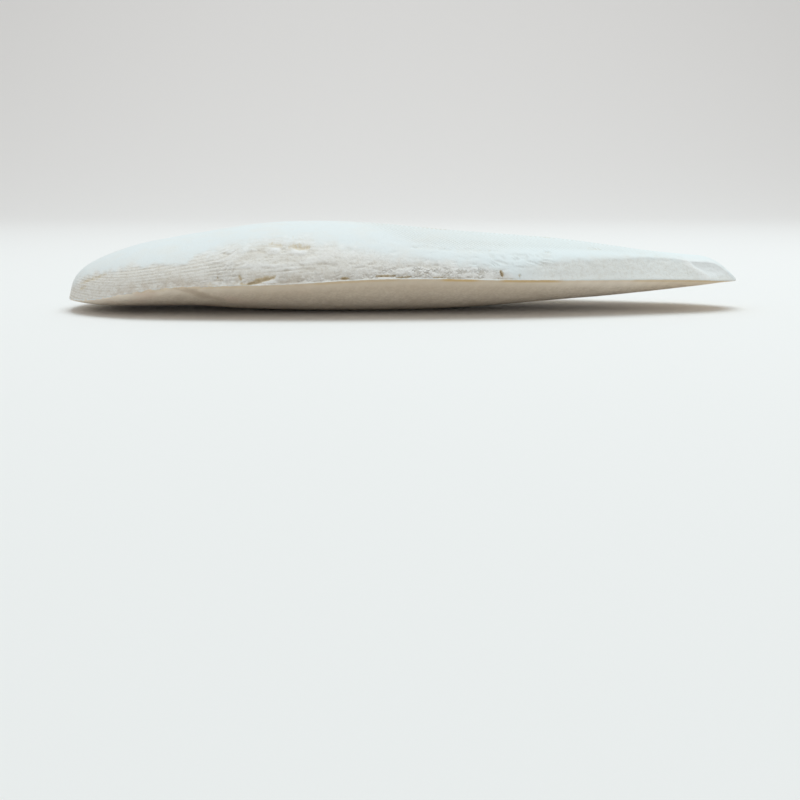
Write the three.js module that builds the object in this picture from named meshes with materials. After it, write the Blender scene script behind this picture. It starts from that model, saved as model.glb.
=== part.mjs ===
// A cuttlebone: the chalky internal shell of a cuttlefish, washed up and dried.
// It lies on its hard, shallow shield, with the thick chambered mass on top.
//
// Millimetres, +Z up. X runs along the bone, from the blunt front end (-X) to the thin tail end (+X),
// and Y across it. The origin is on the resting surface, under the middle of the bone.
//
// Every cross-section is two curves that meet at a rim on each side: the chambered mass above the rim
// and the shield below it. The lines along the bone that follow drive all of them.

import * as THREE from "three";

// Driving dimensions of the whole bone.
const LENGTH = 190;
const HALF_LENGTH = LENGTH / 2;

// The mesh: rings along the bone, and how many steps each ring takes over the mass and under the shield.
const RINGS = 104;
const STEPS_OVER = 28;
const STEPS_UNDER = 18;
const STEPS_ROUND = STEPS_OVER + STEPS_UNDER;

// Lines along the bone, as [x, value] pairs with a smooth curve through them.
// Side view: the heights of the crest, the rim and the keel over the resting surface.
const CREST = alongCurve([
  [-95, 17.6], [-84, 17.7], [-72, 19.4], [-55, 22.2], [-40, 24.3], [-24, 24.9],
  [-8, 24.4], [10, 22.9], [40, 20.6], [55, 18.8], [70, 16.7], [84, 15.2], [95, 14.4],
]);
const RIM = alongCurve([
  [-95, 3.3], [-84, 4.4], [-66, 7.8], [-52, 8.7], [-30, 9.4], [-10, 10.5],
  [5, 10.7], [30, 10.1], [60, 9.6], [80, 9.0], [95, 8.0],
]);
// The keel dips below 0 where it has worn flat: there it is cut off at 0, and rests.
const KEEL = alongCurve([
  [-95, 1.0], [-85, 0.4], [-60, 1.0], [-45, 0.2], [-20, -0.5], [5, -0.1],
  [20, 0.6], [42, 2.4], [60, 3.9], [84, 6.5], [95, 7.8],
]);
// Top view: half the width between the rims.
const HALF_WIDTH = alongCurve([
  [-95, 27], [-60, 31.2], [-35, 33], [0, 32], [20, 30.2], [40, 26.6], [60, 21.2], [80, 14.4], [95, 10],
]);
// End view: how square the mass is, where 2 is an ellipse.
const SQUARENESS = alongCurve([[-95, 2.1], [0, 2.1], [40, 2.4], [70, 3.2], [95, 3.4]]);

// The shield's cross-section is 1 - u^2 to this power, where u runs from the keel to the rim.
const SHIELD_POWER = 0.75;

// How the tips close: each starts rounding off this far in from the tip, with this power.
const FRONT_ROUND = { reach: 35, power: 2.3 };
const FRONT_TOP_ROUND = { reach: 30, power: 2.4 };
const TAIL_ROUND = { reach: 14, power: 2.2 };
const TAIL_TOP_ROUND = { reach: 9, power: 1.25 };

// A smooth curve through [x, value] pairs: cubic pieces whose slope at each point is that of its neighbours.
function alongCurve(points) {
  const slope = (i) => {
    const a = points[Math.max(i - 1, 0)];
    const b = points[Math.min(i + 1, points.length - 1)];
    return (b[1] - a[1]) / (b[0] - a[0]);
  };
  return (x) => {
    const last = points.length - 2;
    const found = points.findIndex((point) => point[0] > x);
    const i = found < 0 ? last : THREE.MathUtils.clamp(found - 1, 0, last);
    const [x0, v0] = points[i];
    const [x1, v1] = points[i + 1];
    const span = x1 - x0;
    const t = (x - x0) / span;
    const t2 = t * t;
    const t3 = t2 * t;
    const fromEnds = v0 * (2 * t3 - 3 * t2 + 1) + v1 * (3 * t2 - 2 * t3);
    const fromSlopes = slope(i) * (t3 - 2 * t2 + t) + slope(i + 1) * (t3 - t2);
    return fromEnds + fromSlopes * span;
  };
}

// 1 along the bone, falling to 0 at a tip: inside is the distance in from that tip.
function endRound(inside, { reach, power }) {
  const out = THREE.MathUtils.clamp((reach - inside) / reach, 0, 1);
  return Math.pow(1 - Math.pow(out, power), 1 / power);
}

// The point of the bone's surface at one ring (share 0 at the front tip, 1 at the tail tip) and one angle
// round it: 0 and PI are the two rims, 0 to PI goes over the mass, and PI to 2 PI goes under the shield.
function surfacePoint(share, angle) {
  const x = -HALF_LENGTH * Math.cos(share * Math.PI);
  const fromFront = HALF_LENGTH + x;
  const fromTail = HALF_LENGTH - x;
  const ends = endRound(fromFront, FRONT_ROUND) * endRound(fromTail, TAIL_ROUND);
  const topEnds = endRound(fromFront, FRONT_TOP_ROUND) * endRound(fromTail, TAIL_TOP_ROUND);

  const across = Math.cos(angle);
  const u = Math.abs(across);
  const y = -HALF_WIDTH(x) * ends * across;
  const square = SQUARENESS(x);
  const over = (CREST(x) - RIM(x)) * topEnds * Math.pow(1 - Math.pow(u, square), 1 / square);
  const under = (RIM(x) - KEEL(x)) * ends * Math.pow(1 - u * u, SHIELD_POWER);
  const z = RIM(x) + (angle <= Math.PI ? over : -under);
  return new THREE.Vector3(x, y, Math.max(z, 0));
}

// A ball whose poles are the bone's two tips, with each of its points moved onto the bone's surface.
function boneGeometry() {
  const geometry = new THREE.SphereGeometry(1, STEPS_ROUND, RINGS);
  const position = geometry.getAttribute("position");
  const perRing = STEPS_ROUND + 1;
  for (let i = 0; i < position.count; i++) {
    const ring = Math.floor(i / perRing);
    const step = (i % perRing) % STEPS_ROUND;
    const over = step <= STEPS_OVER;
    const angle = over
      ? (Math.PI * step) / STEPS_OVER
      : Math.PI * (1 + (step - STEPS_OVER) / STEPS_UNDER);
    const point = surfacePoint(ring / RINGS, angle);
    position.setXYZ(i, point.x, point.y, point.z);
  }
  geometry.computeVertexNormals();
  return geometry;
}

const chalk = new THREE.MeshStandardMaterial({ color: 0xe4e2d8, roughness: 0.95, metalness: 0 });
const cuttlebone = new THREE.Mesh(boneGeometry(), chalk);
cuttlebone.name = "cuttlebone";

const part = new THREE.Group();
part.add(cuttlebone);
export default part;
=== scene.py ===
# %% [markdown]
# # A cuttlebone
#
# A cuttlebone is the inner shell of a cuttlefish. It lies here as it does on a table: its thin, hard
# shield is underneath, and the thick white mass that the shield carries is on top. The mass is a stack
# of hundreds of paper-thin chalky sheets, so wherever it is worn the edges of the sheets show as fine
# lines. The bone grew as one piece, so it is made as one mesh with one material.
#
# The plan: load the solid that fixes the size, set the camera and light, give a copy of the solid a
# finer mesh, carve the wear into that mesh, and let the material read where the wear went.

# %% Load the frame
import bisect
import math

import bmesh
import bpy
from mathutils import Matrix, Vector, noise
from mathutils.bvhtree import BVHTree


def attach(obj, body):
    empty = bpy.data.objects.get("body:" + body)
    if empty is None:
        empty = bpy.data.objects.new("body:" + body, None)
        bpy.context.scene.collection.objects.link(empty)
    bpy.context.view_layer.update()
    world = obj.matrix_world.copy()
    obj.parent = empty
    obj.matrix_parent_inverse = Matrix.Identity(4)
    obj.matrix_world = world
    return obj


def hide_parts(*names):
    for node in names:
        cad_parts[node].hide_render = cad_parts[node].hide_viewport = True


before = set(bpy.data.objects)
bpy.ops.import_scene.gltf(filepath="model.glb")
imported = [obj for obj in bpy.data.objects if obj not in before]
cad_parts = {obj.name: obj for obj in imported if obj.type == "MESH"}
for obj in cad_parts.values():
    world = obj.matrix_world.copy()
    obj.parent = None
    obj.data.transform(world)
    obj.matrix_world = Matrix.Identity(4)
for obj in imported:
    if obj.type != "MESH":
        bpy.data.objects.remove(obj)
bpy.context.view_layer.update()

# %% [markdown]
# ## Camera
#
# The bone is seen from the side and from just above its own height, so its back edge hides behind its
# crest. It sits high in the frame, which is done by aiming the camera lower than the bone. The
# alternative, a shifted lens, would follow the camera into every other view.

# %% Set the camera
MM = 0.001
LENS_MM = 50
VIEW_DISTANCE = 321 * MM
VIEW_ELEVATION = math.radians(4)
AIM_BELOW = math.radians(6.78)
AIMED_AT = Vector((-1.1, 0, 11.4)) * MM

camera = bpy.data.objects.new("camera", bpy.data.cameras.new("camera"))
camera.data.lens = LENS_MM
camera.data.clip_start = 10 * MM
camera.location = AIMED_AT + VIEW_DISTANCE * Vector((0, -math.cos(VIEW_ELEVATION), math.sin(VIEW_ELEVATION)))
camera.rotation_euler = (math.pi / 2 - VIEW_ELEVATION - AIM_BELOW, 0, 0)
bpy.context.scene.collection.objects.link(camera)
bpy.context.scene.camera = camera
print("camera at", [round(v, 3) for v in camera.location])

# %% [markdown]
# ## Light and floor
#
# Soft light from above: one broad, faintly cool lamp overhead makes the top the brightest part and lets
# the side fall off gently, and a faintly warm sky fills the shadows. White things lose their detail when
# they are overexposed, so the lamp stays well under full white. The floor is a sheet of pale paper that
# sweeps up behind the bone, so no horizon line shows, and a second lamp keeps the sweep as pale as the
# floor, as the sheet would otherwise turn grey where it turns away from the first one.

# %% Make the light
LAMP_SIZE = 0.85
LAMP_WATTS = 6.4
LAMP_COLOR = (0.85, 0.965, 1.0)
BACK_LAMP_SIZE = 1.6
BACK_LAMP_WATTS = 9
BACK_LAMP_COLOR = (0.95, 0.98, 1.0)
SKY_COLOR = (1.0, 0.985, 0.965, 1)
SKY_STRENGTH = 0.52


def area_lamp(name, place, aim, size, watts, color):
    """A square lamp that shines from place towards aim."""
    lamp = bpy.data.objects.new(name, bpy.data.lights.new(name, "AREA"))
    lamp.data.size = size
    lamp.data.energy = watts
    lamp.data.color = color
    lamp.location = place
    lamp.rotation_euler = (Vector(aim) - Vector(place)).to_track_quat("-Z", "Y").to_euler()
    bpy.context.scene.collection.objects.link(lamp)
    return lamp


area_lamp("window", (0.12, 0.05, 1.0), (0, 0, 0), LAMP_SIZE, LAMP_WATTS, LAMP_COLOR)
area_lamp("back", (0, 1.1, 1.7), (0, 2.3, 0.3), BACK_LAMP_SIZE, BACK_LAMP_WATTS, BACK_LAMP_COLOR)

world = bpy.data.worlds.new("sky")
bpy.context.scene.world = world
world.use_nodes = True
world.node_tree.nodes["Background"].inputs["Color"].default_value = SKY_COLOR
world.node_tree.nodes["Background"].inputs["Strength"].default_value = SKY_STRENGTH
bpy.context.scene.view_settings.view_transform = "Standard"
print("lamps and sky are set")

# %% Make the floor
FLOOR_REACH = 2.5
FLOOR_BEHIND = 0.9
SWEEP_RADIUS = 2.2
SWEEP_STEPS = 48
PAPER_COLOR = (0.86, 0.855, 0.845, 1)
PAPER_ROUGHNESS = 0.9

floor_bm = bmesh.new()
near_edge = [floor_bm.verts.new((x, -FLOOR_REACH, 0)) for x in (-FLOOR_REACH, FLOOR_REACH)]
edge = floor_bm.edges.new(near_edge)
flat = bmesh.ops.extrude_edge_only(floor_bm, edges=[edge])["geom"]
bmesh.ops.translate(
    floor_bm,
    vec=(0, FLOOR_REACH + FLOOR_BEHIND, 0),
    verts=[g for g in flat if isinstance(g, bmesh.types.BMVert)],
)
bmesh.ops.spin(
    floor_bm,
    geom=[g for g in flat if not isinstance(g, bmesh.types.BMFace)],
    cent=(0, FLOOR_BEHIND, SWEEP_RADIUS),
    axis=(1, 0, 0),
    angle=math.radians(90),
    steps=SWEEP_STEPS,
)
floor_mesh = bpy.data.meshes.new("floor")
floor_bm.to_mesh(floor_mesh)
floor_bm.free()
floor_mesh.shade_smooth()
floor = bpy.data.objects.new("floor", floor_mesh)
bpy.context.scene.collection.objects.link(floor)

paper = bpy.data.materials.new("pale_paper")
paper.use_nodes = True
paper.node_tree.nodes["Principled BSDF"].inputs["Base Color"].default_value = PAPER_COLOR
paper.node_tree.nodes["Principled BSDF"].inputs["Roughness"].default_value = PAPER_ROUGHNESS
floor_mesh.materials.append(paper)
print("floor faces:", len(floor_mesh.polygons))

# %% [markdown]
# ## A mesh to carve
#
# The solid's surface is a grid of rings that was stored as loose triangles. A copy of it is merged and
# its triangles are joined back into four-sided faces, because those split evenly when a mesh is refined.
# A crease keeps the rim sharp, where the mass and the shield meet. A ring's widest point is on the rim,
# so the rings give the rim's line as well.

# %% Copy the solid and merge it
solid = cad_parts["cuttlebone"]
MERGE_WITHIN = 0.002 * MM
JOIN_BEND = math.radians(30)
JOIN_SKEW = math.radians(70)

bm = bmesh.new()
bm.from_mesh(solid.data)
bmesh.ops.remove_doubles(bm, verts=bm.verts, dist=MERGE_WITHIN)
bmesh.ops.join_triangles(bm, faces=bm.faces, angle_face_threshold=JOIN_BEND, angle_shape_threshold=JOIN_SKEW)
print("copied faces:", len(bm.faces), "of them triangles:", sum(len(f.verts) == 3 for f in bm.faces))

# %% Measure the rim from the copy
rings = {}
for vert in bm.verts:
    rings.setdefault(round(vert.co.x / MM, 2), []).append(vert.co / MM)
ring_x = sorted(rings)
widest = [max(rings[x], key=lambda co: co.y) for x in ring_x]
RIM_HEIGHTS = [co.z for co in widest]
RIM_WIDTHS = [co.y for co in widest]
CREST_HEIGHTS = [max(co.z for co in rings[x]) for x in ring_x]


def at_ring(values, x):
    """The value at x, on the straight line between the rings on either side of it."""
    i = min(max(bisect.bisect_right(ring_x, x), 1), len(ring_x) - 1)
    share = (x - ring_x[i - 1]) / (ring_x[i] - ring_x[i - 1])
    return values[i - 1] + (values[i] - values[i - 1]) * min(max(share, 0), 1)


def over_rim(co):
    """How far a point in mm is above the rim: the mass is above 0 and the shield below."""
    return co.z - at_ring(RIM_HEIGHTS, co.x)


print("rings:", len(ring_x), "rim height in the middle, in mm:", round(at_ring(RIM_HEIGHTS, 0), 2))

# %% Crease the rim
ON_RIM = 0.02

crease = bm.edges.layers.float.new("crease_edge")
for edge in bm.edges:
    ends = [vert.co / MM for vert in edge.verts]
    if all(abs(over_rim(co)) < ON_RIM and at_ring(RIM_WIDTHS, co.x) - abs(co.y) < ON_RIM for co in ends):
        edge[crease] = 1.0
print("creased edges:", sum(edge[crease] > 0 for edge in bm.edges))

# %% [markdown]
# Subdivision Surface rounds the facets off. It is used twice. At three levels it gives a very smooth
# surface that is only a guide. At one level it gives the light mesh that becomes the bone, which is then
# split further just where the wear needs it, and every new point is put on the guide. Splitting the
# whole mesh evenly would be simpler, but the plain underside would then take as many faces as the
# layered side, where the lines are barely half a millimetre apart. Where a fine stretch meets a coarse
# one, some faces get more than four corners, and those are cut into triangles so that they shade evenly.

# %% Make the smooth guide and the light mesh
GUIDE_LEVELS = 3
LIGHT_LEVELS = 1


def rounded(levels, name):
    """A new mesh object: the copy after that many levels of Subdivision Surface."""
    mesh = bpy.data.meshes.new(name)
    bm.to_mesh(mesh)
    made = bpy.data.objects.new(name, mesh)
    bpy.context.scene.collection.objects.link(made)
    rounding = made.modifiers.new("rounding", "SUBSURF")
    rounding.levels = rounding.render_levels = levels
    bpy.context.view_layer.objects.active = made
    bpy.ops.object.modifier_apply(modifier=rounding.name)
    return made


guide = rounded(GUIDE_LEVELS, "guide")
guide_tree = BVHTree.FromPolygons(
    [vert.co / MM for vert in guide.data.vertices], [face.vertices for face in guide.data.polygons]
)
bpy.data.objects.remove(guide)
bone = rounded(LIGHT_LEVELS, "bone_surface")
bm.free()
print("light mesh faces:", len(bone.data.polygons))

# %% [markdown]
# ## Where the wear is
#
# One side of the bone has been rubbed until its sheets show. The places are given along the bone (x)
# and by height over the rim, both in millimetres, because the wear follows the rim. Each side has its
# own set, as the far side wore differently.

# %% Places on the two sides
NEAR, FAR = -1, 1

# Up to this height over the rim the outer skin is gone and the sheets' edges show.
SKIN_EDGE = {
    NEAR: [
        (-94, 3.5), (-90, 6.5), (-85, 7.2), (-70, 7.3), (-63, 6.4), (-57, 6.5), (-55, 8.4), (-49, 9.8),
        (-42, 11.0), (-33, 12.4), (-25, 11.4), (-18, 9.6), (-6, 7.0), (6, 5.2), (20, 4.0), (27, 2.4),
        (31, -1),
    ],
    FAR: [
        (-93, -1), (-88, 4.2), (-74, 6.2), (-60, 4.4), (-52, 5.8), (-40, 3.4), (-30, 1.5), (-20, 3.2),
        (-2, 4.6), (12, 5.2), (22, 3.0), (34, 2.6), (44, 4.2), (54, 2.2), (60, -1),
    ],
}
# Between these places along the bone the sheets' edges are straight, then wavy, then crumbled.
STRAIGHT_TO = {NEAR: -50, FAR: -42}
CRUMBLED_FROM = {NEAR: -13, FAR: -8}
# From here to the tail the wall has been rubbed flat, up to this height over the rim.
FLAT_TOP = {
    NEAR: [(26, 2.2), (30, 3.4), (36, 4.7), (44, 5.3), (53, 5.7), (65, 6.2), (76, 6.0), (95, 5.6)],
    FAR: [(50, 1.0), (60, 3.0), (70, 3.8), (95, 3.8)],
}
FLAT_FROM = {NEAR: (26, 40), FAR: (50, 66)}


def follow(points, x):
    """The value at x on the line through [x, value] points."""
    places = [point[0] for point in points]
    i = min(max(bisect.bisect_right(places, x), 1), len(points) - 1)
    (x0, v0), (x1, v1) = points[i - 1], points[i]
    return v0 + (v1 - v0) * min(max((x - x0) / (x1 - x0), 0), 1)


def ease(low, high, value):
    """0 below low, 1 above high and a smooth rise between them."""
    share = min(max((value - low) / (high - low), 0), 1)
    return share * share * (3 - 2 * share)


def hill(value, rise, fall):
    """1 between the two slopes: it rises between the two values of rise and falls between those of fall."""
    return ease(*rise, value) * (1 - ease(*fall, value))


def ripple(turns):
    """A wave from 1 down to 0 and back, once for each turn."""
    return 0.5 + 0.5 * math.cos(math.tau * turns)


def grain(co, size, seed=0.0):
    """Smooth noise from -1 to 1 whose lumps are about size across. size is one number or one per axis."""
    sx, sy, sz = size if isinstance(size, tuple) else (size, size, size)
    return noise.noise(Vector((co.x / sx + seed, co.y / sy - seed, co.z / sz + 2 * seed)))


def side_of(co):
    """The side that a point is on."""
    return NEAR if co.y < 0 else FAR


print("skin gone up to", max(h for _, h in SKIN_EDGE[NEAR]), "mm over the rim")

# %% Split the mesh where the wear needs it
# An edge that gains less than this share of its length along the bone lies in a ring.
IN_RING = 0.015
# In front of the first place, and within this share of the half width, the top is smooth.
SMOOTH_BEFORE = -20
SMOOTH_WITHIN = 0.6
# The fine mesh on the walls reaches a little under the rim and a little over the wear.
UNDER_SHEETS = -0.3
UNDER_CRUMBS = -0.2
WAVES_TO = 28
WRINKLES_TO = 41


def refine(bm, wanted, rows=True, columns=True):
    """Splits in two the edges whose middle is wanted: those round the bone, along it, or both."""
    chosen = []
    for edge in bm.edges:
        a, b = (vert.co / MM for vert in edge.verts)
        lies_along = abs(b.x - a.x) > IN_RING * (b - a).length
        if (columns if lies_along else rows) and wanted((a + b) / 2):
            chosen.append(edge)
    bmesh.ops.subdivide_edges(bm, edges=chosen, cuts=1, use_grid_fill=True)


def across(co):
    """0 on the middle line and 1 on the rim."""
    return abs(co.y) / at_ring(RIM_WIDTHS, co.x)


def on_wall(co, side, along, heights):
    """True on one side's wall, between two places along the bone and two heights over the rim."""
    return side_of(co) == side and along[0] < co.x < along[1] and heights[0] < over_rim(co) < heights[1]


def on_mass(co):
    smooth_top = co.x < SMOOTH_BEFORE and across(co) < SMOOTH_WITHIN
    return over_rim(co) > -0.4 and not smooth_top


def on_straight_sheets(co):
    top = follow(SKIN_EDGE[NEAR], co.x) + 0.8
    return on_wall(co, NEAR, (-94.8, STRAIGHT_TO[NEAR] + 4), (UNDER_SHEETS, top))


def on_wavy_sheets(co):
    top = 9.8 if co.x < WAVES_TO else 7.5
    return on_wall(co, NEAR, (STRAIGHT_TO[NEAR] + 2, WRINKLES_TO), (UNDER_SHEETS, top))


def on_crumbs(co):
    return on_wall(co, NEAR, (CRUMBLED_FROM[NEAR] + 2, 26), (UNDER_CRUMBS, 4.2))


def on_far_sheets(co):
    top = follow(SKIN_EDGE[FAR], co.x) + 0.6
    return on_wall(co, FAR, (-92, 58), (UNDER_CRUMBS, top))


def on_growth_lines(co):
    return -16 < co.x < 62 and across(co) < 0.78 and over_rim(co) > 2


bm = bmesh.new()
bm.from_mesh(bone.data)
refine(bm, on_mass)
refine(bm, on_straight_sheets, columns=False)
refine(bm, on_straight_sheets, columns=False)
refine(bm, on_wavy_sheets)
refine(bm, on_crumbs)
refine(bm, on_far_sheets, columns=False)
refine(bm, on_growth_lines, rows=False)
for vert in bm.verts:
    vert.co = guide_tree.find_nearest(vert.co / MM)[0] * MM
many_sided = [face for face in bm.faces if len(face.verts) > 4]
bmesh.ops.triangulate(bm, faces=many_sided, ngon_method="BEAUTY")
print("refined faces:", len(bm.faces), "triangles:", sum(len(face.verts) - 2 for face in bm.faces))

# %% [markdown]
# ## The tail's flat faces
#
# The wall near the tail has been rubbed flat, so it meets the rounded top in a clear edge, and the far
# side of the tip is broken off at a slant. Both are cuts, so both are made first, on the smooth shape: a
# point outside the flat wall is brought in to it, and a point outside the break is dropped on to the
# break's plane. A boolean with a block would cut more cleanly, but it would throw away the even mesh.
# Dropping points has a price: on the far side of the tip, where the bone is thinnest, the upper and lower
# surfaces land on the same plane, and some faces there cross each other.

# %% Cut the flat wall and the broken tip
# A point on the break, the direction that it faces and how rough it is.
BREAK_PLACE = Vector((88.5, 6.5, 11.5))
BREAK_FACING = Vector((0.62, 0.62, 0.48)).normalized()
BREAK_ROUGH = 0.4
# The wall bulges out a little in the middle of its height, and its top edge stays under the crest.
WALL_BULGE = 0.2
UNDER_CREST = 1.1
# The cuts' edges are worn round, but not the rim.
SOFTEN_TIMES = 8
KEEP_OVER_RIM = 0.4


def wall_top(co):
    """The height over the rim of the flat wall's top edge."""
    drawn = follow(FLAT_TOP[side_of(co)], co.x) + 0.25 * grain(co, 5, 10)
    return min(drawn, at_ring(CREST_HEIGHTS, co.x) - at_ring(RIM_HEIGHTS, co.x) - UNDER_CREST)


def wall_width(co, height):
    """Half the guide's width at that height over the rim."""
    start = Vector((co.x, 0, at_ring(RIM_HEIGHTS, co.x) + height))
    hit = guide_tree.ray_cast(start, Vector((0, side_of(co), 0)))[0]
    return abs(hit.y) if hit else 0.0


def flatten_wall(co):
    """The point, moved in to the straight wall between the rim and the wall's top edge."""
    side = side_of(co)
    start, full = FLAT_FROM[side]
    top = wall_top(co)
    height = over_rim(co)
    if co.x < start or not 0 < height < top:
        return co
    share = height / top
    rim_width = at_ring(RIM_WIDTHS, co.x)
    flat = rim_width + (wall_width(co, top) - rim_width) * share + WALL_BULGE * math.sin(math.pi * share)
    width = abs(co.y) + (min(abs(co.y), flat) - abs(co.y)) * ease(start, full, co.x)
    return Vector((co.x, side * width, co.z))


def break_tip(co):
    """The point, dropped on to the break if it stands outside of it, with the break's roughness."""
    rough = BREAK_ROUGH * (0.5 + 0.6 * grain(co, 2.6, 11) + 0.3 * grain(co, 1, 13))
    return co - BREAK_FACING * max((co - BREAK_PLACE).dot(BREAK_FACING) + rough, 0)


on_break = 0
on_walls = []
cuts_from = min(start for start, _ in FLAT_FROM.values())
for vert in bm.verts:
    co = vert.co / MM
    if co.x > cuts_from:
        walled = flatten_wall(co)
        whole = break_tip(walled)
        on_break += whole != walled
        vert.co = whole * MM
        if over_rim(co) > KEEP_OVER_RIM:
            on_walls.append(vert)
for _ in range(SOFTEN_TIMES):
    bmesh.ops.smooth_vert(bm, verts=on_walls, factor=0.5, use_axis_x=True, use_axis_y=True, use_axis_z=True)
bm.normal_update()
print("cut the walls, points on the break:", on_break)

# %% [markdown]
# ## The sheets
#
# Every sheet is a nearly level layer that dips towards the front. One number says how many sheets a
# point has under it, and everything to do with sheets is worked out from it: its whole steps are the
# gaps, and its parts of a step are the way through one sheet. Because it is taken at the carved surface,
# lines run straight over a flat wall and curl round every hollow, as the lines on worn wood do. Like a
# knot in wood, one place on the near side pushes the sheets up into an arch.

# %% Count the sheets
# How thick a sheet is, and between which places it grows from the one to the other.
SHEET_AT_NOSE = 0.68
SHEET_AT_ARCH = 0.84
SHEET_GROWS = (-82, -46)
# The sheets are level at one place and bend into a steady dip on both sides of it.
DIP = 0.11
LEVEL_AT_X = -78
BEND_WITHIN = 16
# Where the arch stands, how high it is and how far it reaches to the front and to the back.
ARCH_AT = {NEAR: -40.5, FAR: -26}
ARCH_RISE = 3.4
ARCH_BEFORE = 6.0
ARCH_BEHIND = 13.0


def arch(co, height):
    """How far the sheets are pushed up at a point."""
    along = co.x - ARCH_AT[side_of(co)]
    hump = math.exp(-((along / (ARCH_BEFORE if along < 0 else ARCH_BEHIND)) ** 2))
    return ARCH_RISE * hump * ease(3.5, 10.0, height)


def sheet_count(co):
    """How many sheets lie under a point in mm."""
    height = over_rim(co)
    rise = DIP * (math.hypot(co.x - LEVEL_AT_X, BEND_WITHIN) - BEND_WITHIN)
    sway = 0.3 * grain(co, (26, 60, 9), 3) + 0.45 * ease(-52, -44, co.x) * grain(co, (7, 7, 2.6), 4)
    sheet = SHEET_AT_NOSE + (SHEET_AT_ARCH - SHEET_AT_NOSE) * ease(*SHEET_GROWS, co.x)
    return (co.z - rise - arch(co, height) + sway) / sheet


print("sheets in 10 mm at the nose:", round(10 / SHEET_AT_NOSE, 1))

# %% [markdown]
# ## The wear on the walls
#
# Each kind of wear is a function that gives how deep it goes at a point, and the depths add up. The torn
# edge of the outer skin comes first, then the straight sheets, the wavy ones and the crumbled stretch.

# %% Carve the torn skin and the sheets' edges
SKIN_DEPTH = 0.15
SHARP_STEP = 1.3
SOFT_STEP = 4.0
GAP_DEPTH = 0.065
ARCH_GAP_DEPTH = 0.14
SHEET_SETBACK = 0.1
# This takes each sheet to a part of the noise that no other sheet reads.
SHEET_APART = 7.31
LONG_WAVE = 0.44
STROKE = 0.28
FLUTE_DEPTH = 0.34
FLUTE_SPACING = 1.1
WRINKLE_DEPTH = 0.22
WRINKLE_SPACING = 1.3


def skin_gone(co, height):
    """1 where the outer skin has torn away and 0 where it is whole."""
    side = side_of(co)
    torn = 1.0 * grain(co, (5, 9, 4), 5) + 0.7 * grain(co, (1.8, 3, 1.5), 6) + 0.35 * grain(co, 0.7, 7)
    edge = follow(SKIN_EDGE[side], co.x) + torn * ease(0.5, 3, height)
    soft = max(ease(-0.1, 0.4, grain(co, (6, 6, 30), 33)), ease(-56, -44, co.x))
    step = SHARP_STEP + (SOFT_STEP - SHARP_STEP) * soft
    return ease(-0.3 * step, 0.7 * step, edge - height) * ease(0.05, 0.45, height)


def sheets_show(co):
    """How clear the sheets' edges are: 1 at the front, 0 where the wall has crumbled."""
    blur = 3 * grain(co, 4, 8)
    crumbled_from = CRUMBLED_FROM[side_of(co)]
    return 1 - ease(crumbled_from - 20, crumbled_from - 2, co.x + blur)


def waves(co):
    """1 where the wall wore into waves, between the straight sheets and the crumbled stretch."""
    side = side_of(co)
    blur = 2.5 * grain(co, 4, 9)
    return hill(co.x + blur, (STRAIGHT_TO[side] - 6, STRAIGHT_TO[side] + 3), (34, 46))


def sheet_gap(co, count):
    """How wide the nearest gap between two sheets stands open."""
    return 0.7 + 0.75 * noise.noise(Vector((co.x / 8, round(count) * SHEET_APART, 0.5)))


def sheet_depth(co, count, shown):
    """How deep the gaps between the sheets go, and how far each sheet has broken back."""
    broken_back = noise.noise(Vector((co.x / 2.8, math.floor(count) * SHEET_APART, co.y / 6)))
    deep = GAP_DEPTH + (ARCH_GAP_DEPTH - GAP_DEPTH) * ease(-53, -46, co.x)
    gap = deep * sheet_gap(co, count) * ripple(count)
    return shown * (gap + SHEET_SETBACK * (0.5 + 0.5 * broken_back))


def wave_depth(co, height):
    """Long low hollows along the wall, with shorter strokes in them."""
    long_hollow = 0.5 + 0.5 * grain(co, (7, 5, 2.2), 14)
    stroke = ease(0.1, 0.7, grain(co, (2.8, 2.4, 0.9), 15))
    low = 1 - ease(9, 15, height)
    return low * (LONG_WAVE * long_hollow + STROKE * stroke)


def flute_depth(co, height):
    """Short upright flutes at the foot of the arch, on the near side only."""
    x = co.x + 0.8 * grain(co, 2.5, 34)
    here = hill(x, (-53, -50), (-45.5, -43)) * hill(height, (1.4, 2.6), (5.2, 7))
    upright = ripple((x - 0.35 * height) / FLUTE_SPACING)
    return here * FLUTE_DEPTH * upright if co.y < 0 else 0.0


def wrinkle_depth(co, height):
    """Slanting wrinkles behind the crumbled stretch, on the near side only."""
    here = hill(co.x, (16, 23), (37, 42)) * hill(height, (3, 4.2), (6.2, 7.8))
    here *= ease(-0.35, 0.25, grain(co, (2.4, 2.4, 1.2), 43))
    slant = (height + 0.62 * co.x + 1.3 * grain(co, 2.4, 35)) / WRINKLE_SPACING
    return here * WRINKLE_DEPTH * ripple(slant) if co.y < 0 else 0.0


print("sheets' gaps are", GAP_DEPTH, "mm deep")

# %% Carve the crumbled stretch
# Grains and flakes: how wide and how high they are, and how deep the gaps between them go.
CRUMB = 0.95
CRUMB_HEIGHT = 0.76
CRUMB_DEPTH = 0.34
FLAKE = 1.6
FLAKE_HEIGHT = 0.8
FLAKE_DEPTH = 0.28
# The grains stand out this far again, so that the stretch doesn't sink as a whole.
CRUMB_SWELL = 0.12
# How high over the rim the grains reach, where they begin and end along the bone, and the flakes' top.
CRUMB_BAND = {NEAR: 3.9, FAR: 3.0}
CRUMB_SPAN = {NEAR: (-20, 28), FAR: (-10, 22)}
FLAKE_BAND = 3.2


def crumbled(co, height):
    """1 where the mass has crumbled to grains: a low band over the rim."""
    side = side_of(co)
    band = CRUMB_BAND[side] + 0.9 * grain(co, (5, 5, 2), 16)
    start, end = CRUMB_SPAN[side]
    blur = 3 * grain(co, 3, 17)
    here = hill(co.x + blur, (start, start + 14), (end - 7, end))
    return here * ease(0, 1.2, band - height) * ease(0.1, 0.5, height)


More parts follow.
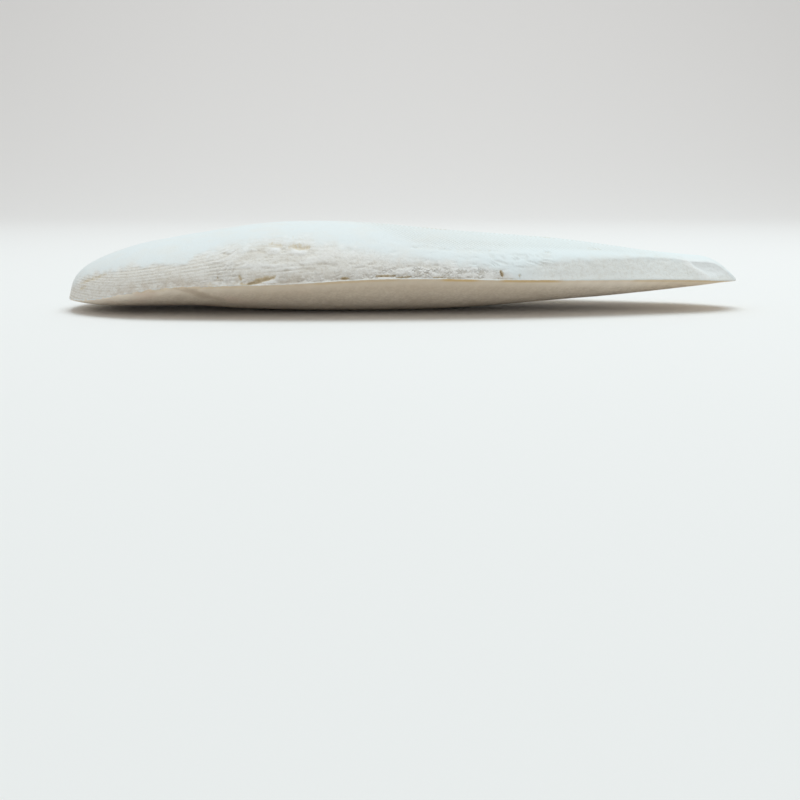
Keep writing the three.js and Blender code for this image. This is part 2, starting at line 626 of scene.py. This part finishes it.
def cell_gap(co, width, height, gap):
    """0 inside a cell of a cracked surface and 1 in the gaps round it."""
    nearest = noise.voronoi(Vector((co.x / width, co.y / width, co.z / height)))[0]
    return 1 - ease(0.0, gap, nearest[1] - nearest[0])


def crumb_gap(co):
    """0 on top of a grain and 1 in the gaps round it. Some grains hold together, with no gap between."""
    bent = co + Vector((0.45, 0.3, 0.45)) * grain(co, 0.9, 36)
    loose = ease(-0.45, 0.25, grain(co, (2.4, 2.4, 1.4), 49))
    return cell_gap(bent, CRUMB, CRUMB_HEIGHT, 0.36) * loose


def flaked(co, height):
    """1 in the ragged band just over the rim, between the nose and the crumbled stretch."""
    band = ease(0.1, 0.6, height) * (1 - ease(1.4, FLAKE_BAND, height + 1.1 * grain(co, 3, 19)))
    return band * hill(co.x, (-74, -50), (-14, 0))


def flake_gap(co):
    """0 on a flake and 1 in the gaps round it. Flakes are longer than they are high."""
    bent = co + Vector((0.5, 0.5, 0.5)) * grain(co, 1.3, 37)
    return cell_gap(bent, FLAKE, FLAKE_HEIGHT, 0.45)


print("grains are", CRUMB, "mm across")

# %% Chip the tip on the near side
# The chip begins behind this ridge, a line of (along, over the rim) places.
RIDGE = [(76.3, 5.9), (79.0, 4.0), (81.4, 2.6), (84.6, -0.2)]
CHIP_DEPTH = 0.75


def chipped(co, height):
    """How deep the chip is at a point, and how near the point is to the ridge in front of it.

    The chip is deepest high up on the wall, so its face leans back and catches the light.
    """
    if co.y > 0 or not 75 < co.x < 94:
        return 0.0, 0.0
    ridge_x = follow([(h, x) for x, h in reversed(RIDGE)], height) + 0.9 * grain(co, 2.2, 39)
    over_top = height - wall_top(co) + 0.4 * grain(co, 2.2, 40)
    inside = ease(0.0, 2.4, co.x - ridge_x) * ease(0.0, 3.2, height) * (1 - ease(-1.6, 1.8, over_top))
    on_ridge = (1 - ease(0.2, 1.9, abs(co.x - ridge_x - 0.1))) * (1 - ease(-0.3, 0.6, over_top))
    return CHIP_DEPTH * inside * (1 - 0.6 * ease(84, 92, co.x)), on_ridge


print("the chip is up to", CHIP_DEPTH, "mm deep")

# %% [markdown]
# Cracks, holes, dents and smears are single places, so they are a list: each is a short path on one
# side, with a width, a depth and how brown the dirt in it is. The same functions carve them all and
# tell the material where the dirt lies. Under a crack the broken lip is left standing, and it is whiter
# than the wall, as it is the freshest break.

# %% Carve the cracks, holes and dents
SCARS = [
    # side, [(along, over the rim), ...], half width, depth, dirt, lip
    (NEAR, [(-40.4, 0.45), (-38.8, 0.8), (-36.2, 1.55), (-34.2, 1.9), (-33.6, 2.3)], 0.9, 0.5, 0.7, 1.0),
    (NEAR, [(-42.8, 3.0), (-42.3, 1.5)], 0.42, 0.33, 0.58, 0.0),
    (NEAR, [(-42.4, 0.7), (-41.2, 0.15), (-39.9, 0.45)], 0.45, 0.25, 0.6, 0.0),
    (NEAR, [(-50.1, 1.4), (-50.3, 0.5)], 0.38, 0.3, 0.55, 0.5),
    (NEAR, [(-48.7, 2.7), (-48.4, 2.3)], 0.4, 0.3, 0.5, 0.0),
    (NEAR, [(-35.4, 10.4), (-32.2, 10.2)], 0.9, 0.22, 0.4, 1.0),
    (NEAR, [(-29.8, 12.4), (-29.6, 11.8)], 0.4, 0.15, 0.3, 0.0),
    (NEAR, [(-29.8, 10.1), (-27.4, 9.5), (-25.0, 9.3)], 1.15, 0.3, 0.48, 1.0),
    (NEAR, [(-16.2, 0.75), (-14.3, 0.7)], 0.45, 0.55, 0.8, 0.8),
    (NEAR, [(-7.2, 1.0), (-5.0, 0.9), (-2.3, 0.95)], 0.4, 0.5, 0.75, 0.9),
    (NEAR, [(-2.0, 0.5), (0.5, 0.45), (2.0, 0.8)], 0.35, 0.4, 0.55, 0.5),
    (NEAR, [(7.5, 0.5), (10.0, 0.55)], 0.3, 0.35, 0.5, 0.4),
    (NEAR, [(25.4, 2.3), (25.7, 1.2)], 0.7, 0.8, 0.72, 0.3),
    (NEAR, [(30.2, 1.6), (30.4, 0.9)], 0.42, 0.4, 0.5, 0.0),
    (NEAR, [(37.8, 7.4), (39.2, 7.2)], 0.45, 0.3, 0.3, 0.3),
    (NEAR, [(50.0, 8.3), (53.5, 8.0)], 0.6, 0.14, 0.25, 0.0),
    (NEAR, [(2.0, 8.2), (12.0, 7.6), (25.0, 7.4)], 0.8, 0.16, 0.2, 0.0),
    (NEAR, [(-88.5, 4.6), (-86.4, 5.4), (-80.0, 6.4)], 0.65, 0.12, 0.4, 0.0),
    (NEAR, [(-88.4, 3.2), (-86.6, 3.8)], 0.8, 0.15, 0.45, 0.0),
    (FAR, [(-66, 1.6), (-62, 2.6), (-58.5, 2.4)], 0.45, 0.7, 0.9, 0.8),
    (FAR, [(-14, 8.6), (-9, 9.3)], 0.7, 0.4, 0.6, 0.8),
    (FAR, [(3.0, 0.7), (6.5, 0.8)], 0.4, 0.5, 0.6, 0.6),
    (FAR, [(29.0, 1.9), (29.2, 1.2)], 0.5, 1.0, 0.85, 0.3),
    (FAR, [(47.0, 3.0), (52.0, 3.4)], 0.4, 0.3, 0.35, 0.5),
]
SCAR_REACH = 3
# A lip starts this far under the middle of a scar, and further under a wide one.
LIP_UNDER = 0.3
LIP_PER_WIDTH = 0.85
# Faint marks on the shield, as (along, across, half width, dirt).
SHIELD_MARKS = [
    (-58.6, -31.0, 1.3, 0.7), (-57.0, -30.6, 1.6, 0.85), (-55.4, -29.8, 1.7, 0.95), (-53.8, -28.8, 1.7, 0.95),
    (-52.2, -27.4, 1.7, 0.85), (-50.4, -26.0, 1.8, 0.7), (-48.4, -24.6, 1.8, 0.55), (-18.7, -19.6, 1.3, 0.7),
    (4, 11, 2.6, 0.4), (-38, 16, 3.2, 0.3), (-66, 6, 2.4, 0.35), (33, -8, 1.8, 0.4),
]
# Ochre stains on the upper face.
FACE_STAINS = [
    (-36, 8, 3.4, 0.4), (-32, 10, 2.6, 0.45), (-12, 15, 3.0, 0.5), (-9, 13, 1.6, 0.4), (9, 5, 3.2, 0.42),
    (12, 7, 2.0, 0.5), (23, 12, 2.6, 0.55), (20, 14, 1.6, 0.45), (41, 4, 2.2, 0.4), (37, 3, 1.4, 0.35),
]


def near_path(along, height, path):
    """The distance from a place on the wall to a path, how far on it that is and how far over it."""
    here = Vector((along, height))
    best = (math.inf, 0.0, 0.0)
    for number, (start, end) in enumerate(zip(path, path[1:])):
        start, line = Vector(start), Vector(end) - Vector(start)
        share = min(max((here - start).dot(line) / line.length_squared, 0), 1)
        away = here - start - line * share
        best = min(best, (away.length, (number + share) / (len(path) - 1), away.y))
    return best


def scarred(co, height):
    """The depth of the scars at a point, the dirt that lies there and how fresh its lip is."""
    depth = dirt = lip = 0.0
    ragged = 0.5 * grain(co, 1.3, 22) + 0.4 * grain(co, 0.5, 23)
    for side, path, width, deep, brown, lipped in SCARS:
        if side != side_of(co) or not min(path)[0] - SCAR_REACH < co.x < max(path)[0] + SCAR_REACH:
            continue
        away, share, over = near_path(co.x, height, path)
        taper = 1 - 0.45 * (2 * share - 1) ** 2
        away = away / taper + ragged * width
        depth += deep * (1 - ease(0.0, width, away))
        under = -over / (LIP_UNDER + LIP_PER_WIDTH * width + 0.3 * ragged)
        on_lip = lipped * ease(0.3, 0.75, under) * (1 - abs(2 * share - 1) ** 3)
        dirt = max(dirt, brown * (1 - on_lip) * (1 - ease(0.2 * width, 1.7 * width, away)))
        lip = max(lip, on_lip * (1 - ease(1.1, 1.9, under)))
    return depth, dirt, lip


def spotted(co, spots):
    """How much dirt a list of round marks leaves at a point."""
    dirt = 0.0
    for x, y, width, brown in spots:
        ragged = 0.55 * grain(co, 3.2, 24) + 0.25 * grain(co, 1.1, 48)
        away = math.hypot((co.x - x) / 1.3, co.y - y) + width * ragged
        dirt = max(dirt, brown * (1 - ease(0.2 * width, 1.4 * width, away)))
    return dirt


print("scars:", len(SCARS))

# %% [markdown]
# ## The upper face
#
# On the upper face the last sheet is whole and smooth at the front. Behind it each older sheet ends a
# little further back, and the ends make fine wavy growth lines that bow towards the front. A shallow
# hollow runs down the middle of them.

# %% Carve the growth lines
LINE_SPACING = 1.3
LINE_DEPTH = 0.085
BOW = 0.024
LINES_FROM = -16
HOLLOW_DEPTH = 0.4
HOLLOW_WIDTH = 8


def line_count(co):
    """How many growth lines lie in front of a point on the upper face."""
    waver = 0.5 * grain(co, (7, 2.6, 9), 25) + 0.22 * grain(co, (2.6, 1.1, 4), 26)
    return (co.x - BOW * co.y * co.y + waver) / LINE_SPACING


def lines_show(co, height):
    """1 on the part of the upper face that has growth lines."""
    begin = ease(0, 10, co.x - BOW * co.y * co.y - LINES_FROM)
    return begin * ease(5.0, 8.5, height) * ease(0.84, 0.66, across(co)) * (1 - ease(70, 82, co.x))


def face_depth(co, height):
    """The growth lines, the middle hollow and the face's own unevenness."""
    lines = lines_show(co, height) * LINE_DEPTH * ripple(line_count(co))
    middle = math.exp(-((co.y / HOLLOW_WIDTH) ** 2))
    hollow = HOLLOW_DEPTH * hill(co.x, (-20, 20), (70, 90)) * middle
    uneven = 0.1 * (1 + grain(co, 17, 27)) + 0.06 * (1 + grain(co, 5, 28))
    pits = 0.14 * ease(-16, -8, co.x) * ease(0.42, 0.75, grain(co, 1.5, 29))
    return ease(0.3, 3, height) * (lines + hollow + uneven + pits)


print("growth lines are", LINE_SPACING, "mm apart")

# %% [markdown]
# ## Carving
#
# Now each point moves in along its own normal by the sum of the depths. Only the tops of the grains
# stand out a little. What the material needs is written down at the same time, as attributes on the
# mesh: how high the point is over the rim, its place in the count of sheets and of growth lines, how
# clearly each shows, how worn the skin is, the dirt in the scars and stains, painted shade in the gaps,
# flutes, wrinkles, wave hollows and the groove over the rim, the fresh white breaks with painted
# highlights on the waves' crests and the grains' tops, and how strong the horn-coloured line on the
# rim is.

# %% Carve the mesh and note what the finish needs
NOTES = ("over_rim", "sheet_count", "sheets", "line_count", "lines", "dirt", "recess_shade", "worn", "breaks_and_highlights", "horn")
# A thin groove runs open here and there just over the rim.
GROOVE_HEIGHT = 0.38
GROOVE_WIDTH = 0.2
GROOVE_DEPTH = 0.3
# Where the horn-coloured line on the rim is strongest: from, to and how strong.
HORN_SPANS = [(9, 20, 0.8), (24, 42, 0.75), (-72, -40, 0.25), (-24, 0, 0.3), (60, 95, 0.3)]
HORN_FADE = 3


def horn_shows(co):
    """How strong the horn-coloured line on the rim is."""
    x = co.x + 1.5 * grain(co, 4, 41)
    spans = [
        strong * hill(x, (start, start + HORN_FADE), (end - HORN_FADE, end))
        for start, end, strong in HORN_SPANS
    ]
    return 0.2 * ease(-46, -28, x) + max(spans)


def rim_ledge(co):
    """Over this height the wear is at its full depth, which leaves a whole ledge on the rim."""
    return 0.3 + 1.3 * (1 - ease(-52, -34, co.x)) + 0.35 * ease(-0.2, 0.5, grain(co, 3, 42))


def groove_at(co, height):
    """1 in the groove over the rim, where it is open."""
    is_open = ease(-0.1, 0.35, grain(co, (9, 9, 9), 30)) * hill(co.x, (-60, -45), (30, 50))
    return is_open * math.exp(-(((height - GROOVE_HEIGHT) / GROOVE_WIDTH) ** 2))


def rub(co, height):
    """1 where the tail's wall has been rubbed flat, with a ragged top edge."""
    under_edge = wall_top(co) - height + 0.8 * grain(co, 2.4, 47)
    return ease(*FLAT_FROM[side_of(co)], co.x) * ease(-1.2, 1.2, under_edge)


def wall_wear(co, normal, height):
    """How deep the mass is carved at a point, and the notes for the finish."""
    skin = skin_gone(co, height)
    crumb = crumbled(co, height)
    flake = flaked(co, height)
    wave = waves(co)
    waved = wave * (0.35 + 0.65 * skin) * wave_depth(co, height)
    flutes = flute_depth(co, height)
    wrinkles = wrinkle_depth(co, height)
    depth = face_depth(co, height) + SKIN_DEPTH * skin + waved + flutes + wrinkles
    # The count of sheets is taken where the surface has got to by now.
    count = sheet_count(co - normal * depth)
    shown = skin * sheets_show(co) * (1 - 0.6 * flake) * (1 - crumb) * ease(-94.9, -93.0, co.x)
    depth += sheet_depth(co, count, shown)
    in_crumb_gap = crumb_gap(co)
    in_flake_gap = flake_gap(co)
    depth += crumb * (CRUMB_DEPTH * in_crumb_gap - CRUMB_SWELL) + FLAKE_DEPTH * flake * in_flake_gap
    depth += max(crumb, flake) * (0.12 * grain(co, 0.55, 18) + 0.1 * grain(co, 1.7, 44))
    groove = groove_at(co, height)
    chip, ridge = chipped(co, height)
    scar_depth, dirt, lip = scarred(co, height)
    # Near the rim everything but the scars fades out, so that the rim keeps its line.
    depth = (depth + GROOVE_DEPTH * groove + chip) * (1 - 0.6 * lip) * ease(0.0, rim_ledge(co), height)
    depth += scar_depth
    rubbed = rub(co, height)
    sandy = 0.1 * (1 + grain(co, 2.8, 45)) + 0.1 * (1 + grain(co, 1.1, 46))
    depth += rubbed * ease(0.3, 1.2, height) * sandy
    # What only the finish needs: painted shade in the waves' hollows and the gaps, painted highlights on
    # the waves' crests, the skin's torn edge and the stains.
    wave_share = waved / (LONG_WAVE + STROKE)
    hollow = ease(0.3, 0.75, wave_share) * (1 - crumb)
    crest = wave * skin * (1 - ease(0.12, 0.4, wave_share)) * (1 - crumb)
    torn = 4 * skin * (1 - skin) * ease(0.0, 0.5, grain(co, 1.4, 38))
    gaps = max(crumb * in_crumb_gap, 0.8 * flake * in_flake_gap)
    in_chip = ease(0.05, 0.4, chip)
    stains = spotted(co, FACE_STAINS) if height > 9 else 0.0
    return depth, {
        "sheet_count": count,
        "sheets": shown * sheet_gap(co, count),
        "line_count": line_count(co),
        "lines": lines_show(co, height),
        # The open groove over the rim gets dirt at half strength, which is painted shade in the groove.
        "dirt": max(dirt, stains, 0.5 * groove),
        # Painted shade: the gaps, flutes, wrinkles and wave hollows are darker the deeper they go.
        "recess_shade": max(0.85 * gaps, 0.8 * flutes / FLUTE_DEPTH, 0.55 * hollow, 0.4 * wrinkles / WRINKLE_DEPTH),
        "worn": max(skin, 0.6 * crumb, 0.8 * flake, 0.6 * rubbed * (1 - 0.8 * in_chip)),
        # White on fresh breaks, with painted highlights on the waves' crests and on the grains' tops.
        "breaks_and_highlights": max(lip, 0.7 * torn, 0.6 * ridge, 0.6 * in_chip, 0.6 * crumb * (1 - gaps), 0.5 * crest),
        "horn": horn_shows(co),
    }


def shield_wear(co, height):
    """The same for the shield, which is only a little uneven. Where it rests it stays flat."""
    off_floor = ease(0.3, 1.5, co.z) * ease(0.0, 1.0, -height)
    depth = off_floor * (0.04 * (1 + grain(co, 9, 31)) + 0.03 * (1 + grain(co, 2.5, 32)))
    worn = 1 - ease(-50, -36, co.x)
    return depth, {"dirt": spotted(co, SHIELD_MARKS), "horn": horn_shows(co), "worn": worn}


notes = {name: [] for name in NOTES}
carved = []
deepest = 0
for vert in bm.verts:
    co, normal = vert.co / MM, vert.normal
    height = over_rim(co)
    depth, note = wall_wear(co, normal, height) if height > 0 else shield_wear(co, height)
    note["over_rim"] = height
    for name in NOTES:
        notes[name].append(note.get(name, 0.0))
    carved.append((co - normal * depth) * MM)
    deepest = max(deepest, depth)
for vert, place in zip(bm.verts, carved):
    vert.co = place
print("deepest carving, in mm:", round(deepest, 2))

# %% Store the mesh and its notes
bm.normal_update()
bm.to_mesh(bone.data)
bm.free()
for name in NOTES:
    attribute = bone.data.attributes.new(name, "FLOAT", "POINT")
    attribute.data.foreach_set("value", notes[name])
bone.data.shade_smooth()
print("vertices:", len(bone.data.vertices), "notes on each:", len(NOTES))

# %% [markdown]
# ## The finish
#
# Everything is one material, because the bone is one growth. It reads the notes and picks between two
# looks: white chalk over the rim, and the thin, tan shield under it, with a horn-coloured line where the
# two meet. Its maths is written as plain expressions: a Wire is a value on its way through the
# material, and adding or multiplying wires adds the Math nodes that do it.

# %% Write shader maths as expressions
class Wire:
    """A value in a material. The operators on it add Math nodes."""

    def __init__(self, finish, socket):
        self.finish = finish
        self.socket = socket

    def _math(self, operation, first, second):
        return self.finish.node("ShaderNodeMath", {"operation": operation}, {0: first, 1: second})

    def __add__(self, other):
        return self._math("ADD", self, other)

    __radd__ = __add__

    def __sub__(self, other):
        return self._math("SUBTRACT", self, other)

    def __rsub__(self, other):
        return self._math("SUBTRACT", other, self)

    def __mul__(self, other):
        return self._math("MULTIPLY", self, other)

    __rmul__ = __mul__

    def __pow__(self, other):
        return self._math("POWER", self, other)


class Finish:
    """A material in the making."""

    def __init__(self, name):
        self.material = bpy.data.materials.new(name)
        self.material.use_nodes = True
        self.tree = self.material.node_tree
        self.tree.nodes.clear()

    def node(self, kind, settings=None, inputs=None, output=0):
        """Adds a node: its settings first, then the values and wires of its sockets.

        It gives the wire from one of the node's outputs, if the node has any.
        """
        node = self.tree.nodes.new(kind)
        for name, value in (settings or {}).items():
            setattr(node, name, value)
        for name, value in (inputs or {}).items():
            if isinstance(value, Wire):
                self.tree.links.new(value.socket, node.inputs[name])
            else:
                node.inputs[name].default_value = value
        return Wire(self, node.outputs[output]) if node.outputs else None

    def note(self, name):
        """A note that the carving left on the mesh."""
        return self.node("ShaderNodeAttribute", {"attribute_name": name}, output="Fac")

    def smooth(self, low, high, value):
        """0 below low, 1 above high and a smooth rise between them. It falls if low is above high."""
        ends = (low, high, 0.0, 1.0) if low < high else (high, low, 1.0, 0.0)
        names = ("From Min", "From Max", "To Min", "To Max")
        settings = {"interpolation_type": "SMOOTHSTEP"}
        return self.node("ShaderNodeMapRange", settings, {"Value": value, **dict(zip(names, ends))})

    def stretched(self, place, factors):
        """A place with each axis scaled, which makes noise that runs along one of them."""
        return self.node("ShaderNodeVectorMath", {"operation": "MULTIPLY"}, {0: place, 1: factors})

    def grain(self, place, size, detail=2.0, roughness=0.5):
        """Noise from 0 to 1 whose lumps are about size mm across."""
        inputs = {"Vector": place, "Scale": 1 / size, "Detail": detail, "Roughness": roughness}
        return self.node("ShaderNodeTexNoise", None, inputs)

    def mix(self, share, first, second):
        """A colour between two: the first where share is 0 and the second where it is 1."""
        return self.node("ShaderNodeMix", {"data_type": "RGBA"}, {0: share, 6: first, 7: second}, output=2)

    def ripple(self, turns):
        """A wave from 1 down to 0 and back, once for each turn."""
        return 0.5 + 0.5 * self.node("ShaderNodeMath", {"operation": "COSINE"}, {0: turns * math.tau})

    def axes(self, place):
        """The X, Y and Z of a place."""
        split = self.node("ShaderNodeSeparateXYZ", None, {0: place}).socket.node
        return [Wire(self, socket) for socket in split.outputs]


print("shader maths is ready")

# %% Read the notes and the place
look = Finish("cuttlebone_finish")
place = look.node(
    "ShaderNodeVectorMath",
    {"operation": "SCALE"},
    {0: look.node("ShaderNodeTexCoord", output="Object"), "Scale": 1 / MM},
)
along, sideways, _ = look.axes(place)
height = look.note("over_rim")
worn = look.note("worn")
dirt = look.note("dirt")
recess_shade = look.note("recess_shade")
breaks_and_highlights = look.note("breaks_and_highlights")
sheet_lines = look.ripple(look.note("sheet_count")) ** 1.6 * look.note("sheets")
growth_lines = look.ripple(look.note("line_count")) * look.note("lines")
patchy = look.grain(place, 8, detail=3)
mottled = look.grain(place, 2.2, detail=3, roughness=0.6)
speckle = look.grain(place, 0.6, detail=3, roughness=0.7)
sand = look.grain(place, 0.9, detail=2, roughness=0.7)
fine = look.grain(place, 0.22, detail=2, roughness=0.6)
print("nodes so far:", len(look.tree.nodes))

# %% Mix the colours
CHALK = (0.785, 0.83, 0.835, 1)
CHALK_WARM = (0.80, 0.805, 0.775, 1)
# Lighter, cooler chalk, used as painted cool light.
PAINTED_COOL_LIGHT = (0.815, 0.885, 0.895, 1)
CHALK_WORN = (0.83, 0.785, 0.72, 1)
# White of fresh breaks, also used for painted highlights.
CHALK_FRESH_AND_HIGHLIGHT = (0.92, 0.92, 0.91, 1)
# A tan used as painted shade in gaps and grooves, and as the worn chalk's darker tone.
GAP_SHADE_AND_WORN_TONE = (0.55, 0.485, 0.385, 1)
ROSY_TINT = (0.58, 0.50, 0.42, 1)
OCHRE = (0.62, 0.50, 0.31, 1)
DIRT = (0.45, 0.34, 0.205, 1)
SHIELD = (0.66, 0.56, 0.44, 1)
# A paler shield colour, used as painted light.
SHIELD_PAINTED_LIFT = (0.88, 0.79, 0.67, 1)
SHIELD_DARK = (0.50, 0.40, 0.30, 1)
SHIELD_ROSY = (0.72, 0.57, 0.46, 1)
SHIELD_TAN = (0.84, 0.66, 0.44, 1)
HORN = (0.60, 0.42, 0.20, 1)
# The shield's granules are this far apart, and its faint arcs this far.
GRANULE = 0.9
SHIELD_ARC = 4.6

warmer = look.smooth(0.4, 0.7, patchy) * 0.5 + look.smooth(0.5, 0.8, mottled) * 0.4
chalk = look.mix(warmer, CHALK, CHALK_WARM)
# Painted light: towards the tail the chalk turns lighter and cooler, standing in for cool light falling on
# it.
chalk = look.mix(look.smooth(-5, 40, along) * 0.7, chalk, PAINTED_COOL_LIGHT)
chalk = look.mix(worn * 0.7, chalk, CHALK_WORN)
near_rim = look.smooth(4.0, 0.3, height) * look.smooth(0.35, 0.65, mottled) * look.smooth(-88, -72, along)
chalk = look.mix(near_rim * look.smooth(0, -40, along) * 0.7, chalk, ROSY_TINT)
# Painted shade: the sheets' gaps and the growth lines' grooves are darkened.
chalk = look.mix(sheet_lines * 0.36, chalk, GAP_SHADE_AND_WORN_TONE)
chalk = look.mix(growth_lines * 0.24, chalk, GAP_SHADE_AND_WORN_TONE)
# Painted shade in the recesses: the gaps, flutes, wrinkles and wave hollows.
chalk = look.mix(recess_shade * (0.35 + 0.6 * speckle) * 0.5, chalk, GAP_SHADE_AND_WORN_TONE)
chalk = look.mix(look.smooth(0.45, 0.8, mottled) * worn * 0.2, chalk, GAP_SHADE_AND_WORN_TONE)
chalk = look.mix(look.smooth(0.62, 0.8, speckle) * worn * 0.4, chalk, GAP_SHADE_AND_WORN_TONE)
chalk = look.mix(look.smooth(0.48, 0.62, sand) * worn * 0.26, chalk, GAP_SHADE_AND_WORN_TONE)
# White on fresh breaks, plus painted highlights on the waves' crests and the grains' tops.
chalk = look.mix(breaks_and_highlights * 0.8, chalk, CHALK_FRESH_AND_HIGHLIGHT)
stained = look.smooth(0.12, 0.75, dirt + (speckle - 0.5) * 0.9)
chalk = look.mix(stained * look.smooth(0.0, 0.3, dirt) * 0.85, chalk, OCHRE)
chalk = look.mix(look.smooth(0.55, 0.95, dirt + (speckle - 0.5) * 0.4), chalk, DIRT)

# Painted light: the shield is paler further under the rim and towards both ends. This lifts it where the
# floor's contact shadow and the bone's own shade darken it.
painted_lift_at_ends = look.smooth(-30, -80, along) + 0.7 * look.smooth(22, 58, along)
shield = look.mix(look.smooth(-2.0, -7.5, height), SHIELD, SHIELD_PAINTED_LIFT)
shield = look.mix(painted_lift_at_ends, shield, SHIELD_PAINTED_LIFT)
shield = look.mix(look.smooth(55, 82, along) * 0.5, shield, SHIELD_TAN)
shield_inner = look.smooth(-0.8, -2.6, height)
granule = look.node("ShaderNodeTexVoronoi", None, {"Vector": place, "Scale": 1 / GRANULE}, output="Distance")
arc_count = (along - sideways * sideways * 0.012 + patchy * 5) * (1 / SHIELD_ARC)
shield = look.mix(look.smooth(0.4, 0.8, patchy) * 0.2 + look.ripple(arc_count) * 0.12, shield, SHIELD_DARK)
shield = look.mix(look.smooth(0.3, 0.75, granule) * shield_inner * 0.3, shield, SHIELD_DARK)
rosy = look.smooth(0.45, 0.65, look.grain(place, 11, detail=2)) * look.smooth(-10, -60, along)
shield = look.mix(rosy * 0.6, shield, SHIELD_ROSY)
shield = look.mix(look.smooth(0.15, 0.9, dirt + (speckle - 0.5) * 0.3) * 0.75, shield, SHIELD_DARK)

flaky = look.grain(look.stretched(place, (0.45, 0.45, 1.0)), 0.9, detail=4, roughness=0.65)
flaky_here = 0.3 + 2.4 * look.smooth(-42, -58, along)
ragged_rim = height + (flaky - 0.5) * flaky_here
under_rim = look.smooth(0.10, -0.10, ragged_rim)
horn_line = look.smooth(0.22, 0.02, ragged_rim) * look.smooth(-0.8, -0.3, ragged_rim)
color = look.mix(under_rim, chalk, shield)
color = look.mix(horn_line * look.note("horn"), color, HORN)
print("nodes so far:", len(look.tree.nodes))

# %% Make the surface
# How high each kind of relief is, in millimetres.
FINE_RELIEF = 0.05
SPECKLE_RELIEF = 0.12
SAND_RELIEF = 0.16
SHEET_RELIEF = 0.04
LINE_RELIEF = 0.08
GRANULE_RELIEF = 0.12
SHIELD_SPECKLE_RELIEF = 0.03
CHALK_ROUGHNESS = 0.92
SHIELD_ROUGHNESS = 0.57

chalk_relief = ((fine - 0.5) * FINE_RELIEF + (speckle - 0.5) * SPECKLE_RELIEF) * (1 + 0.9 * worn)
chalk_relief = chalk_relief - sheet_lines * SHEET_RELIEF - growth_lines * LINE_RELIEF
chalk_relief = chalk_relief + (sand - 0.5) * worn * SAND_RELIEF
shield_relief = (0.5 - granule) * GRANULE_RELIEF * shield_inner + (speckle - 0.5) * SHIELD_SPECKLE_RELIEF
relief = chalk_relief * (1 - under_rim) + shield_relief * under_rim
bump = look.node("ShaderNodeBump", None, {"Strength": 1.0, "Distance": MM, "Height": relief})
roughness = CHALK_ROUGHNESS - (CHALK_ROUGHNESS - SHIELD_ROUGHNESS) * under_rim
surface = look.node(
    "ShaderNodeBsdfPrincipled", None, {"Base Color": color, "Roughness": roughness, "Normal": bump}
)
look.node("ShaderNodeOutputMaterial", None, {"Surface": surface})
bone.data.materials.clear()
bone.data.materials.append(look.material)
print("material nodes:", len(look.tree.nodes))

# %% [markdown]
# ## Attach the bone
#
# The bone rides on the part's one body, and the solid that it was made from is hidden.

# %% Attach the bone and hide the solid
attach(bone, "root")
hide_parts("cuttlebone")
